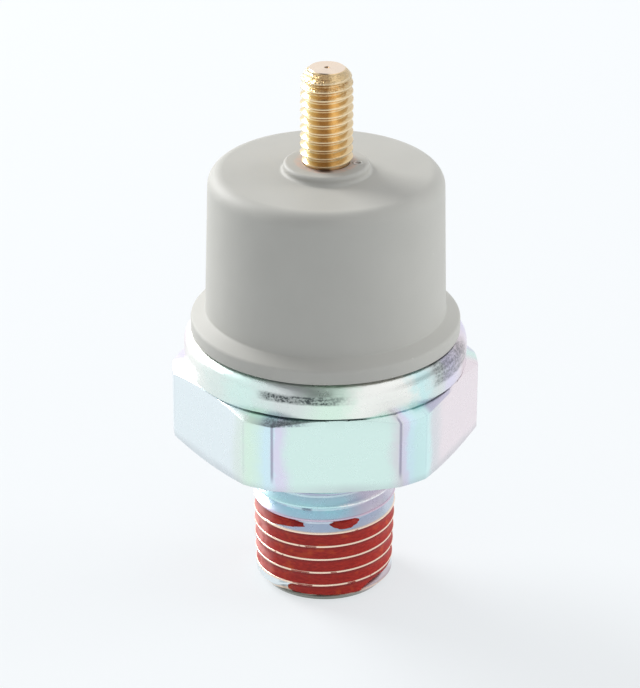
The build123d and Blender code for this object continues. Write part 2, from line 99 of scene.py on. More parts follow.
# Sealant, in degrees from the front flat, positive towards +X, and in grooves from the lowest
SEALANT_FIRST = -42
SEALANT_LAST = 29.5
SEALANT_LAST_GROOVE = 5
SEALANT_GAP_START = -21
SEALANT_GAP_END = 0.5
SEALANT_THIN_START = -64
SEALANT_DIP = 0.11 * MM
SEALANT_FILM = 0.05 * MM
SEALANT_HIDDEN = 0.07 * MM
SEALANT_FOOT = 0.8 * MM
SEALANT_ROOT = 0.2 * MM
SEALANT_GRAIN = 0.012 * MM
SPARE_TURN = 0.01
SEALANT_COLUMNS = 300
SEALANT_EDGE = 0.04
CREST_SHARE = 0.447

# Hexagon
HEX_TURNED_RADIUS = body_high.x
HEX_FLAT_RADIUS = 13.0 * MM
HEX_TOP = STEM_LENGTH + 7.38 * MM
HEX_TOP_CHAMFER = 0.5 * MM
HEX_BOTTOM_CHAMFER = 0.4 * MM
HEX_BOTTOM_RIM = 0.1 * MM
HEX_ROWS = 8
EDGE_ROUND = 0.09 * MM

# Rolled ring
RING_RADIUS = 13.13 * MM
RING_TOP = body_high.z
RING_FOOT_GROOVE = 0.15 * MM
RING_ROLL = 1.2 * MM
RING_BORE = 12.1 * MM
LIP_THICKNESS = 0.85 * MM
LIP_GAP = 0.1 * MM
LIP_ROUND = 0.3 * MM

# Where the ring's foot is pressed down, in degrees: start, full, last full and end
RING_PRESSED = ((2, 12, 40, 47), (-70, -62, -40, -31))
RING_PRESS_OUT = 0.12 * MM
RING_PRESS_DOWN = 0.1 * MM

# Seats inside the body
SEAT_RADIUS = diaphragm_radius + 0.1 * MM
SEAT_TOP = 21.9 * MM
SEAT_FLOOR = seal_high.z
CHAMBER_RADIUS = 8.0 * MM
CHAMBER_FLOOR = SEAT_FLOOR - 1.0 * MM
SEAL_SLACK = 0.05 * MM
SEAL_GROOVE_WIDTH = 1.4 * MM

# Cap
CAP_FLANGE_RADIUS = cap_high.x
CAP_TOP = cap_high.z - 0.8 * MM
CAP_BASE_RADIUS = 11.13 * MM
CAP_TOP_RADIUS = 10.79 * MM
CAP_FLANGE_BOTTOM = RING_TOP + 0.1 * MM
CAP_FLANGE_SIDE = 1.28 * MM
CAP_FLANGE_SLOPE = 0.75 * MM
CAP_EDGE_ROUND = 1.45 * MM
CAP_FLANGE_ROUND = 0.375 * MM
CAP_FOOT_ROUND = 0.25 * MM
CAP_INNER_ROUND = 0.7 * MM
CAP_SHOULDER_ROUND = 0.4 * MM
CAP_RIM_ROUND = 0.06 * MM
BOSS_HOLE_ROUND = 0.08 * MM
INNER_BOSS_SHORT = 0.9 * MM
CAP_WALL = 2.1 * MM
CAP_THICKNESS = 2.3 * MM
BOSS_RADIUS = 3.95 * MM
BOSS_ROUND = 0.35 * MM
INNER_BOSS_RADIUS = 4.795 * MM
SHOULDER_RADIUS = RING_BORE - 0.05 * MM
SHOULDER_BOTTOM = SEAT_TOP + 0.1 * MM
FIT_GAP = 0.01 * MM
SEAT_GAP = 0.02 * MM

# Stud
STUD_PITCH = 25.4 / 32 * MM
STUD_RADIUS = 2.413 * MM
STUD_DEPTH = 0.44 * MM
STUD_CREST = 0.05 * MM
STUD_ROOT = 0.06 * MM
STUD_CREST_HEIGHT = 43.60 * MM
STUD_NECK_RADIUS = 2.1 * MM
STUD_THREAD_BOTTOM = cap_high.z + 0.35 * MM
STUD_TIP_DOME = 1.3 * MM
STUD_TIP_RADIUS = 1.58 * MM
STUD_PIT_RADIUS = 0.22 * MM
STUD_PIT_DEPTH = 0.18 * MM
STUD_WORN_LENGTH = 2.2 * MM
STUD_WEAR = 0.05 * MM
STUD_HEAD_FLAT = stud_high.y
STUD_HEAD_TURNED = 3.62 * MM
STUD_HEAD_BOTTOM = 37.8168 * MM
STUD_HEAD_TOP = STUD_HEAD_BOTTOM + 1.7 * MM
STUD_END_RADIUS = 2.0 * MM

# Springs
RANGE_WIRE = 0.44 * MM
RANGE_TURNS = 3.5
LEVER_WIRE = 0.25 * MM
LEVER_TURNS = 3
LEVER_PITCH = 0.28 * MM
LEVER_RADIUS = 1.15 * MM
LEG_ROUND = 0.03 * MM
SPRING_COLUMNS = 72
WINDING_PITCH = 0.3125 * MM

# The photograph looks at the object from a little to the left of one flat
VIEW_AZIMUTH = math.radians(-4.5)
VIEW_ELEVATION = math.radians(25.8)
VIEW_DISTANCE = 307.5 * MM
VIEW_ROLL = 0.005
AIM_HEIGHT = 24.036 * MM
AIM_SIDE = -0.5 * MM
LENS = 172.98


def stem_radius(height):
    return STEM_TIP_RADIUS + STEM_TAPER * height


def smooth(low, high, value):
    """Rises from 0 to 1 between low and high."""
    share = min(max((value - low) / (high - low), 0), 1)
    return share * share * (3 - 2 * share)


def window(low, full, last, end, value):
    """Rises from 0 to 1 between low and full, and falls back between last and end."""
    return smooth(low, full, value) * (1 - smooth(last, end, value))


def azimuth_of(point):
    """Turn about Z in turns, 0 towards the front flat (-Y), rising towards +X."""
    return math.atan2(point.x, -point.y) / math.tau


def at_radius(point, radius):
    """The point moved out or in to a radius."""
    scale = radius / point.xy.length
    return Vector((point.x * scale, point.y * scale, point.z))


def deselect():
    bpy.ops.object.select_all(action="DESELECT")


def select_only(obj):
    deselect()
    obj.select_set(True)
    bpy.context.view_layer.objects.active = obj


def named(obj, name):
    obj.name = name
    obj.data.name = name
    return obj


@contextmanager
def editing(obj):
    """Edit mode on one object, with everything in it selected at first."""
    select_only(obj)
    bpy.ops.object.mode_set(mode="EDIT")
    bpy.ops.mesh.select_mode(type="VERT")
    bpy.ops.mesh.select_all(action="SELECT")
    yield
    bpy.ops.object.mode_set(mode="OBJECT")


def pick(obj, kind, test):
    """In edit mode, selects only the verts or edges that pass a test."""
    bpy.ops.mesh.select_mode(type=kind)
    bpy.ops.mesh.select_all(action="DESELECT")
    mesh = bmesh.from_edit_mesh(obj.data)
    for item in mesh.verts if kind == "VERT" else mesh.edges:
        if test(item):
            item.select_set(True)
    mesh.select_flush_mode()
    bmesh.update_edit_mesh(obj.data)


def clean(obj, merge=MERGE):
    """Merges doubles and turns every face outwards."""
    with editing(obj):
        bpy.ops.mesh.remove_doubles(threshold=merge)
        bpy.ops.mesh.normals_make_consistent(inside=False)


def apply_modifier(obj, kind, **settings):
    modifier = obj.modifiers.new(kind.title(), kind)
    for name, value in settings.items():
        setattr(modifier, name, value)
    select_only(obj)
    bpy.ops.object.modifier_apply(modifier=modifier.name)


def smoothed(obj):
    """The finished piece: cleaned, and smooth but for its edges."""
    clean(obj)
    select_only(obj)
    bpy.ops.object.shade_smooth_by_angle(angle=SMOOTH_ANGLE)
    return obj


def joined(pieces, name):
    deselect()
    for piece in pieces:
        piece.select_set(True)
    bpy.context.view_layer.objects.active = pieces[0]
    bpy.ops.object.join()
    return named(bpy.context.object, name)


def rounded(points):
    """Outline through (radius, height) corners; a third number rounds its corner."""
    outline = []
    for index, point in enumerate(points):
        corner = Vector(point[:2])
        if len(point) < 3:
            outline.append(corner)
            continue
        before = (Vector(points[index - 1][:2]) - corner).normalized()
        after = (Vector(points[(index + 1) % len(points)][:2]) - corner).normalized()
        half = before.angle(after) / 2
        centre = corner + (before + after).normalized() * point[2] / math.sin(half)
        start = corner + before * point[2] / math.tan(half) - centre
        turn = start.angle_signed(corner + after * point[2] / math.tan(half) - centre)
        steps = max(2, round(abs(turn) / ARC_STEP))
        for step in range(steps + 1):
            angle = -turn * step / steps
            outline.append(centre + Matrix.Rotation(angle, 2) @ start)
    return outline


def wire(name, outline, closed):
    """Outline of (radius, height) points in the plane of +X and Z."""
    deselect()
    bpy.ops.mesh.primitive_circle_add(vertices=len(outline), radius=MM, fill_type="NOTHING")
    obj = named(bpy.context.object, name)
    for vertex, (radius, height) in zip(obj.data.vertices, outline):
        vertex.co = (radius, 0, height)
    if not closed:
        last = {0, len(outline) - 1}
        with editing(obj):
            pick(obj, "EDGE", lambda edge: {vertex.index for vertex in edge.verts} == last)
            bpy.ops.mesh.delete(type="EDGE_FACE")
    return obj


def spun(name, outline, closed=True):
    """The outline turned about Z."""
    obj = wire(name, outline, closed)
    with editing(obj):
        bpy.ops.mesh.spin(steps=COLUMNS, angle=math.tau, center=(0, 0, 0), axis=(0, 0, 1))
        bpy.ops.mesh.select_all(action="SELECT")
        bpy.ops.mesh.remove_doubles(threshold=MERGE)
    return obj


def thread_outline(radius, pitch, depth, crest, root):
    """One pitch of a thread as (radius, height) points, from crest to crest."""
    middle = pitch / 2
    low, high = crest, middle - root
    flank = [(radius - depth * share, low + (high - low) * share) for share in (0, 0.05, 0.35, 0.68, 0.95, 1)]
    half = [(radius, 0), *flank, (radius - depth, middle)]
    return half + [(level, pitch - height) for level, height in reversed(half[:-1])]


def screwed(name, outline, pitch, first_turn, last_turn, columns=COLUMNS, closed=False):
    """The outline wound up a right-hand screw; turn 0 is at the front, at the outline's own heights."""
    obj = wire(name, outline, closed)
    turns = last_turn - first_turn
    steps = round(turns * columns)
    sweep = {"angle": math.tau * turns, "screw_offset": pitch * turns}
    apply_modifier(obj, "SCREW", steps=steps, render_steps=steps, **sweep)
    obj.data.transform(Matrix.Rotation(math.tau * first_turn - math.pi / 2, 4, "Z"))
    obj.data.transform(Matrix.Translation((0, 0, pitch * first_turn)))
    return obj


def cut_between(obj, low, high, fill=False):
    """Removes what lies below and above two heights."""
    for height, side in ((low, "clear_inner"), (high, "clear_outer")):
        plane = {"plane_co": (0, 0, height), "plane_no": (0, 0, 1), side: True}
        with editing(obj):
            bpy.ops.mesh.bisect(threshold=EXACT, use_fill=fill, **plane)


def fill_ends(obj):
    with editing(obj):
        bpy.ops.mesh.fill_holes(sides=0)


def bridge_at(obj, height):
    """Joins the two open rims at one height, in millimetres, because the operator fails on tiny edges."""
    def on_rim(edge):
        return edge.is_boundary and all(abs(vertex.co.z - height / MM) < RIM_SLACK for vertex in edge.verts)

    obj.data.transform(Matrix.Scale(1 / MM, 4))
    with editing(obj):
        pick(obj, "EDGE", on_rim)
        bpy.ops.mesh.bridge_edge_loops()
    obj.data.transform(Matrix.Scale(MM, 4))


def six_sided(obj, flat, turned, low, high, cones=(), only=None):
    """Cuts six flats between two heights; a cone is a chamfer's start, its edge, and its first radius."""
    half_flat = math.acos(flat / turned)
    half_step = math.pi / COLUMNS
    for vertex in only or obj.data.vertices:
        point = vertex.co
        radius = point.xy.length
        if not low < point.z < high or radius < 0.9 * flat:
            continue
        angle = azimuth_of(point) * math.tau
        side = round(angle / math.radians(60)) * math.radians(60)
        local = angle - side
        if abs(abs(local) - half_flat) < half_step:
            local = math.copysign(half_flat, local)
        reach = min(flat / math.cos(local), turned)
        height = point.z
        if radius > turned - TOUCH:
            radius = reach
            for start, edge, inner in cones:
                if abs(height - edge) < TOUCH:
                    height = start + (edge - start) * (reach - inner) / (turned - inner)
        angle = side + local
        vertex.co = (radius * math.sin(angle), -radius * math.cos(angle), height)


# Pieces


def groove_turn(point):
    """How many turns up its groove a point of the stem lies, counted from the lowest full groove."""
    azimuth = azimuth_of(point)
    level = (point.z - PIPE_CREST_HEIGHT) / PIPE_PITCH + 0.5
    return round(level - azimuth) + azimuth


def thread_share(turn):
    """How far the thread's groove is cut, from 0 to 1, a number of turns up it."""
    return window(THREAD_START_TURN, THREAD_FULL_TURN, THREAD_FADE_TURN, THREAD_END_TURN, turn)


def stem_limit(height):
    """Radius that the stem's chamfer and neck leave."""
    chamfer = STEM_TIP_RADIUS - STEM_CHAMFER_WIDTH
    chamfer += height * (stem_radius(STEM_CHAMFER) - chamfer) / STEM_CHAMFER
    neck = stem_radius(NECK_START) - NECK_UNDERCUT * smooth(0, NECK_UNDERCUT, height - NECK_START)
    return min(chamfer, neck)


def threaded_stem():
    """The stem's outside: a taper thread that fades into the chamfer below and the neck above."""
    outline = thread_outline(STEM_TIP_RADIUS, PIPE_PITCH, PIPE_DEPTH, PIPE_CREST, PIPE_ROOT)
    outline = [(radius, height + PIPE_CREST_HEIGHT) for radius, height in outline]
    last_turn = math.ceil(STEM_LENGTH / PIPE_PITCH) + 1
    stem = screwed("plated_stem", outline, PIPE_PITCH, first_turn=-4, last_turn=last_turn)
    for vertex in stem.data.vertices:
        point = vertex.co
        depth = STEM_TIP_RADIUS - point.xy.length
        share = thread_share(groove_turn(point))
        radius = min(stem_radius(point.z) - depth * share, stem_limit(point.z))
        vertex.co = at_radius(point, radius)
    clean(stem)
    cut_between(stem, 0, STEM_LENGTH)
    return stem


def head_outline():
    """The turned form from the neck over the hexagon and ring, and down inside to the port's mouth."""
    neck = stem_radius(NECK_START) - NECK_UNDERCUT
    groove = HEX_FLAT_RADIUS - RING_FOOT_GROOVE
    lip_radius = SEAT_RADIUS + LIP_GAP
    lip_bottom = RING_TOP - LIP_THICKNESS
    seal_outer = seal_high.x + SEAL_SLACK
    seal_inner = seal_outer - SEAL_GROOVE_WIDTH
    wall_low = STEM_LENGTH + HEX_BOTTOM_CHAMFER
    wall_step = (HEX_TOP - HEX_TOP_CHAMFER - wall_low) / HEX_ROWS
    wall = [(HEX_TURNED_RADIUS, wall_low + wall_step * row) for row in range(HEX_ROWS + 1)]
    return rounded([
        (neck + NECK_RIM, STEM_LENGTH),
        (HEX_FLAT_RADIUS - HEX_BOTTOM_RIM, STEM_LENGTH),
        *wall,
        (HEX_FLAT_RADIUS, HEX_TOP),
        (groove, HEX_TOP),
        (groove, HEX_TOP + RING_FOOT_GROOVE),
        (RING_RADIUS, HEX_TOP + RING_FOOT_GROOVE),
        (RING_RADIUS, RING_TOP, RING_ROLL),
        (lip_radius, RING_TOP),
        (lip_radius, lip_bottom),
        (RING_BORE, lip_bottom, LIP_ROUND),
        (RING_BORE, SEAT_TOP),
        (SEAT_RADIUS, SEAT_TOP),
        (SEAT_RADIUS, SEAT_FLOOR),
        (seal_outer, SEAT_FLOOR),
        (seal_outer, seal_low.z),
        (seal_inner, seal_low.z),
        (seal_inner, SEAT_FLOOR),
        (CHAMBER_RADIUS, SEAT_FLOOR),
        (CHAMBER_RADIUS, CHAMBER_FLOOR),
        (PASSAGE_RADIUS, CHAMBER_FLOOR),
        (PASSAGE_RADIUS, PORT_DEPTH),
        (PORT_RADIUS, PORT_DEPTH),
        (PORT_RADIUS, PORT_COUNTERSINK),
        (PORT_RADIUS + PORT_COUNTERSINK, 0),
    ])


def ring_marks(obj):
    """Closes the ring's foot groove where the ring was pressed down on the hexagon."""
    foot = HEX_TOP + RING_FOOT_GROOVE
    for vertex in obj.data.vertices:
        point = vertex.co
        radius = point.xy.length
        inset = HEX_FLAT_RADIUS - radius
        if inset > RING_FOOT_GROOVE + TOUCH or point.z < HEX_TOP - TOUCH:
            continue
        pressed = sum(window(*sector, azimuth_of(point) * 360) for sector in RING_PRESSED)
        if inset > RING_FOOT_GROOVE - TOUCH:
            vertex.co = at_radius(point, radius + RING_PRESS_OUT * pressed)
        elif abs(point.z - foot) < TOUCH:
            vertex.co.z -= RING_PRESS_DOWN * pressed


def threaded_body():
    head = spun("plated_head", head_outline(), closed=False)
    cones = (
        (STEM_LENGTH, STEM_LENGTH + HEX_BOTTOM_CHAMFER, HEX_FLAT_RADIUS - HEX_BOTTOM_RIM),
        (HEX_TOP, HEX_TOP - HEX_TOP_CHAMFER, HEX_FLAT_RADIUS),
    )
    six_sided(head, HEX_FLAT_RADIUS, HEX_TURNED_RADIUS, STEM_LENGTH + TOUCH, HEX_TOP - TOUCH, cones)
    ring_marks(head)
    clean(head, merge=EDGE_ROUND / 3)
    sharp = {"limit_method": "ANGLE", "angle_limit": math.radians(20), "use_clamp_overlap": False}
    apply_modifier(head, "BEVEL", width=EDGE_ROUND, segments=2, **sharp)
    body = joined([head, threaded_stem()], "plated_body")
    bridge_at(body, 0)
    bridge_at(body, STEM_LENGTH)
    return smoothed(body)


def groove_depth(across):
    """Depth of the bare groove; across runs from -0.5 to 0.5 up the groove."""
    from_crest = (0.5 - abs(across)) * PIPE_PITCH - PIPE_CREST
    share = from_crest / (PIPE_PITCH / 2 - PIPE_CREST - PIPE_ROOT)
    return PIPE_DEPTH * min(max(share, 0), 1)


def sealant_reach(turn, ragged):
    """Lower and upper edge of the sealant in its groove, and how full the groove is."""
    around = turn * 360
    # It starts as a wedge, and its lower edge lifts on the right of the first turn
    lower, upper = -0.6, 0.6
    lower += 0.55 * (1 - smooth(SEALANT_FIRST, SEALANT_FIRST + 9, around))
    upper -= 0.65 * (1 - smooth(SEALANT_FIRST, SEALANT_FIRST + 20, around))
    lower += 0.7 * window(14, 50, 70, 130, around)
    full = smooth(SEALANT_FIRST, SEALANT_FIRST + 12, around)
    middle = PIPE_CREST_HEIGHT + (turn - 0.5) * PIPE_PITCH
    lower = max(lower, (SEALANT_FOOT - middle) / PIPE_PITCH)
    # In the last groove it thins out, leaves a gap and ends in a patch
    last = around - 360 * SEALANT_LAST_GROOVE
    if last > SEALANT_GAP_END:
        patch = math.sin(math.pi * min((last - SEALANT_GAP_END) / (SEALANT_LAST - SEALANT_GAP_END), 1))
        lower, upper = -0.13 - 0.2 * patch, -0.13 + 0.33 * patch
        full = 0.5 * patch
    elif last > SEALANT_GAP_START:
        lower, upper = 1, -1
    elif last > SEALANT_THIN_START:
        thin = (last - SEALANT_THIN_START) / (SEALANT_GAP_START - SEALANT_THIN_START)
        lower, upper = -0.46 + 0.26 * thin, 0.5 - 0.68 * thin ** 1.3
        full = 1 - 0.95 * thin
    return lower + 0.04 * ragged, upper + 0.05 * ragged, full


def sealant_dip(turn, across, height, ragged):
    """How far the sealant lies under the thread's crests."""
    lower, upper, full = sealant_reach(turn, ragged)
    edge = SEALANT_EDGE
    cover = window(lower - edge, lower + edge, upper - edge, upper + edge, across)
    dip = SEALANT_DIP * math.cos(math.pi * across) ** 2 + 0.02 * MM
    if abs(across) > CREST_SHARE:
        smeared = smooth(0.35, 0.55, ragged + smear_at(turn, across))
        dip = (0.06 - 0.08 * smeared) * MM
    bare = max(groove_depth(across) * thread_share(turn), stem_radius(height) - stem_limit(height))
    dip = full * dip + (1 - full) * max(bare - SEALANT_FILM, dip)
    return dip + (1 - cover) * (max(bare, dip) + SEALANT_HIDDEN - dip)


def smear_at(turn, across):
    """Where the sealant was rubbed over the crests: low on the left of the front, and at the far left."""
    share = (turn + 0.5) % 1 - 0.5
    crest = round(turn - share) - (across < 0)
    degrees = share * 360
    if crest in (0, 1):
        return 1.3 * window(-36, -31, -18, -11, degrees)
    if crest in (2, 3):
        return 1 - smooth(-76, -60, degrees)
    return 0


def thread_sealant():
    """Red strip that fills the grooves, with bare gaps and ragged ends."""
    half = [0.49, 0.465, 0.44, 0.4, 0.34, 0.27, 0.2, 0.12, 0.04]
    across = [-share for share in half] + half[::-1]
    middle = PIPE_CREST_HEIGHT - PIPE_PITCH / 2
    root = PIPE_DEPTH + SEALANT_ROOT
    outline = [(STEM_TIP_RADIUS, middle + share * PIPE_PITCH) for share in across]
    outline += [(STEM_TIP_RADIUS - root, middle + share * PIPE_PITCH) for share in (across[-1], across[0])]
    first = SEALANT_FIRST / 360 - SPARE_TURN
    last = SEALANT_LAST_GROOVE + SEALANT_LAST / 360 + SPARE_TURN
    strip = screwed("red_sealant", outline, PIPE_PITCH, first, last, SEALANT_COLUMNS, closed=True)
    for vertex in strip.data.vertices:
        step, place = divmod(vertex.index, len(outline))
        turn = first + step / SEALANT_COLUMNS
        point = vertex.co
        if place >= len(across):
            vertex.co = at_radius(point, stem_radius(point.z) - root)
            continue
        ragged = noise.noise(point * 900) + 0.5 * noise.noise(point * 2300)
        dip = sealant_dip(turn, across[place], point.z, ragged) + SEALANT_GRAIN * noise.noise(point * 1500)
        vertex.co = at_radius(point, stem_radius(point.z) - dip)
    fill_ends(strip)
    return smoothed(strip)


def terminal_stud():
    """Brass stud: a threaded end with a centre pit, a neck, and a six-sided head inside the cap."""
    outline = thread_outline(STUD_RADIUS, STUD_PITCH, STUD_DEPTH, STUD_CREST, STUD_ROOT)
    outline = [(radius, height + STUD_CREST_HEIGHT) for radius, height in outline]
    thread = screwed("brass_stud", outline, STUD_PITCH, first_turn=-3, last_turn=12)
    for vertex in thread.data.vertices:
        point = vertex.co
        radius = point.xy.length
        above = point.z - (stud_high.z - STUD_TIP_DOME)
        worn = STUD_WEAR * smooth(-STUD_WORN_LENGTH, 0, above) * (1 + noise.noise(point * 1400))
        dome = (STUD_RADIUS - STUD_TIP_RADIUS) * max(above / STUD_TIP_DOME, 0) ** 2
        radius = min(radius, STUD_RADIUS - worn, STUD_RADIUS - dome)
        near_foot = 1 - smooth(0.05 * MM, 0.3 * MM, point.z - STUD_THREAD_BOTTOM)
        radius = max(radius, (STUD_NECK_RADIUS + 0.04 * MM) * near_foot)
        vertex.co = at_radius(point, radius)
    clean(thread)
    cut_between(thread, STUD_THREAD_BOTTOM, stud_high.z)
    rings = (
        STUD_TIP_RADIUS - 0.12 * MM,
        STUD_TIP_RADIUS - 0.2 * MM,
        STUD_PIT_RADIUS + 0.08 * MM,
        STUD_PIT_RADIUS,
    )
    face = [(ring, stud_high.z) for ring in rings]
    pit = [(STUD_PIT_RADIUS * 0.6, stud_high.z - STUD_PIT_DEPTH * 0.7), (0, stud_high.z - STUD_PIT_DEPTH)]
    tip = spun("stud_tip", face + pit, closed=False)
    below = [
        (STUD_NECK_RADIUS, STUD_THREAD_BOTTOM),
        (STUD_NECK_RADIUS, STUD_HEAD_TOP),
        (STUD_HEAD_TURNED, STUD_HEAD_TOP),
        (STUD_HEAD_TURNED, STUD_HEAD_BOTTOM),
        (STUD_END_RADIUS, STUD_HEAD_BOTTOM),
        (STUD_END_RADIUS, stud_low.z),
        (0, stud_low.z),
    ]
    root = spun("stud_root", below, closed=False)
    six_sided(root, STUD_HEAD_FLAT, STUD_HEAD_TURNED, STUD_HEAD_BOTTOM - TOUCH, STUD_HEAD_TOP + TOUCH)
    stud = joined([thread, tip, root], "brass_stud")
    bridge_at(stud, STUD_THREAD_BOTTOM)
    bridge_at(stud, stud_high.z)
    return smoothed(stud)


def cap():
    """Grey moulding: tapered wall, flange, boss round the stud, and the clamped shoulder inside the ring."""
    side_top = CAP_FLANGE_BOTTOM + CAP_FLANGE_SIDE
    wall_foot = side_top + CAP_FLANGE_SLOPE
    bore = gasket_bore()
    ceiling = CAP_TOP - CAP_THICKNESS
    boss_bottom = stud_low.z + INNER_BOSS_SHORT
    shoulder_top = RING_TOP - LIP_THICKNESS - SEAT_GAP
    neck_hole = STUD_NECK_RADIUS + FIT_GAP
    end_hole = STUD_END_RADIUS + FIT_GAP
    head_hole = STUD_HEAD_TURNED + FIT_GAP
    outline = rounded([
        (end_hole, boss_bottom),
        (INNER_BOSS_RADIUS, boss_bottom),
        (INNER_BOSS_RADIUS, ceiling),
        (CAP_TOP_RADIUS - CAP_WALL, ceiling, CAP_INNER_ROUND),
        (bore, wall_foot),
        (bore, cap_low.z),
        (gasket_high.x, cap_low.z),
        (gasket_high.x, SHOULDER_BOTTOM),
        (SHOULDER_RADIUS, SHOULDER_BOTTOM),
        (SHOULDER_RADIUS, shoulder_top, CAP_SHOULDER_ROUND),
        (gasket_high.x, shoulder_top),
        (gasket_high.x, CAP_FLANGE_BOTTOM),
        (CAP_FLANGE_RADIUS, CAP_FLANGE_BOTTOM, CAP_RIM_ROUND),
        (CAP_FLANGE_RADIUS, side_top, CAP_FLANGE_ROUND),
        (CAP_BASE_RADIUS, wall_foot, CAP_FOOT_ROUND),
        (CAP_TOP_RADIUS, CAP_TOP, CAP_EDGE_ROUND),
        (BOSS_RADIUS, CAP_TOP, BOSS_ROUND),
        (BOSS_RADIUS, cap_high.z, BOSS_ROUND),
        (neck_hole, cap_high.z, BOSS_HOLE_ROUND),
        (neck_hole, STUD_HEAD_TOP + FIT_GAP),
        (head_hole, STUD_HEAD_TOP + FIT_GAP),
        (head_hole, STUD_HEAD_BOTTOM - FIT_GAP),
        (end_hole, STUD_HEAD_BOTTOM - FIT_GAP),
    ])
    moulded = spun("grey_cap", outline)
    low, high = STUD_HEAD_BOTTOM - 2 * FIT_GAP, STUD_HEAD_TOP + 2 * FIT_GAP
    recess = [vertex for vertex in moulded.data.vertices if vertex.co.xy.length < head_hole + FIT_GAP]
    six_sided(moulded, STUD_HEAD_FLAT + FIT_GAP, head_hole, low, high, only=recess)
    return smoothed(moulded)


def gasket_bore():
    """Inner radius of the gasket, which the cap's bore carries on."""
    mesh = frame["nodes"]["cap_gasket"].data
    return min(vertex.co.xy.length for vertex in mesh.vertices)


def wire_section(radius, height, thickness, points=14):
    """Round section of a wire as (radius, height) points."""
    half = thickness / 2
    angles = [math.tau * point / points for point in range(points)]
    return [(radius + half * math.cos(angle), height + half * math.sin(angle)) for angle in angles]


def range_spring():
    """Coil with ground ends between the pusher's foot and the dish."""
    radius = range_high.x - RANGE_WIRE / 2
    pitch = (range_high.z - range_low.z) / RANGE_TURNS
    section = wire_section(radius, range_low.z, RANGE_WIRE)
    coil = screwed("range_coil", section, pitch, 0, RANGE_TURNS, SPRING_COLUMNS, closed=True)
    fill_ends(coil)
    cut_between(coil, range_low.z, range_high.z, fill=True)
    return smoothed(coil)


def lever_spring():
    """Coil on the pin with its lower leg on the frame, and the upper leg that moves with the lever."""
    pivot = (pin_low + pin_high) / 2
    half_length = LEVER_TURNS * LEVER_PITCH / 2
    section = wire_section(LEVER_RADIUS, 0, LEVER_WIRE)
    coil = screwed("lever_coil", section, LEVER_PITCH, 0, LEVER_TURNS, SPRING_COLUMNS, closed=True)
    size = len(section)
    drop = pivot.z - lever_spring_low.z
    last = len(coil.data.vertices) - size
    with editing(coil):
        pick(coil, "VERT", lambda vertex: vertex.index >= last)
        bpy.ops.mesh.extrude_region_move(TRANSFORM_OT_translate={"value": (drop, 0, 0)})
    fill_ends(coil)
    end = pivot.y + half_length
    coil.data.transform(Matrix(((0, 1, 0, pivot.x), (0, 0, -1, end), (-1, 0, 0, pivot.z), (0, 0, 0, 1))))
    deselect()
    rise = lever_spring_high.z - pivot.z
    place = (pivot.x - LEVER_RADIUS, end, pivot.z + rise / 2)
    bpy.ops.mesh.primitive_cylinder_add(vertices=size, radius=LEVER_WIRE / 2, depth=rise, location=place)
    leg = bpy.context.object
    leg.name = "lever_spring_leg"
    select_only(leg)
    bpy.ops.object.transform_apply()
    apply_modifier(leg, "BEVEL", width=LEG_ROUND, segments=2)
    return smoothed(coil), smoothed(leg)


# Finishes


def tone(red, green, blue):
    """Linear colour from a screen colour of 0 to 255."""
    def linear(value):
        share = value / 255
        return share / 12.92 if share <= 0.04045 else ((share + 0.055) / 1.055) ** 2.4

    return (linear(red), linear(green), linear(blue), 1)


class Value:
    """A node's output; the operators add Math nodes."""

    def __init__(self, finish, socket):
        self.finish = finish
        self.socket = socket

    def maths(self, operation, *others):
        inputs = dict(enumerate((self, *others)))
        return self.finish.node("ShaderNodeMath", {"operation": operation}, inputs)

    def __add__(self, other):
        return self.maths("ADD", other)

    def __sub__(self, other):
        return self.maths("SUBTRACT", other)

    def __mul__(self, other):
        return self.maths("MULTIPLY", other)

    def __truediv__(self, other):
        return self.maths("DIVIDE", other)

    __radd__ = __add__
    __rmul__ = __mul__

    def __rsub__(self, other):
        return self * -1 + other

    def output(self, name):
        """Another output of the same node."""
        return Value(self.finish, self.socket.node.outputs[name])

    def limit(self):
        limited = self.maths("ADD", 0)
        limited.socket.node.use_clamp = True
        return limited

    def rises(self, low, high):
        """0 below low and 1 above high, smoothly between; low may be the larger."""
        settings = {"interpolation_type": "SMOOTHSTEP"}
        inputs = {"Value": self, "From Min": min(low, high), "From Max": max(low, high)}
        if low > high:
            inputs.update({"To Min": 1, "To Max": 0})
        return self.finish.node("ShaderNodeMapRange", settings, inputs)

    def between(self, low, full, last, end):
        """0 outside low and end, 1 from full to last."""
        return self.rises(low, full) * self.rises(end, last)

    def near(self, middle, far, close):
        """1 within close of the middle, 0 beyond far."""
        return (self - middle).maths("ABSOLUTE").rises(far, close)

    def off_half(self):
        """0.5 at each whole number, 0 halfway between."""
        return (self.maths("FRACT") - 0.5).maths("ABSOLUTE")


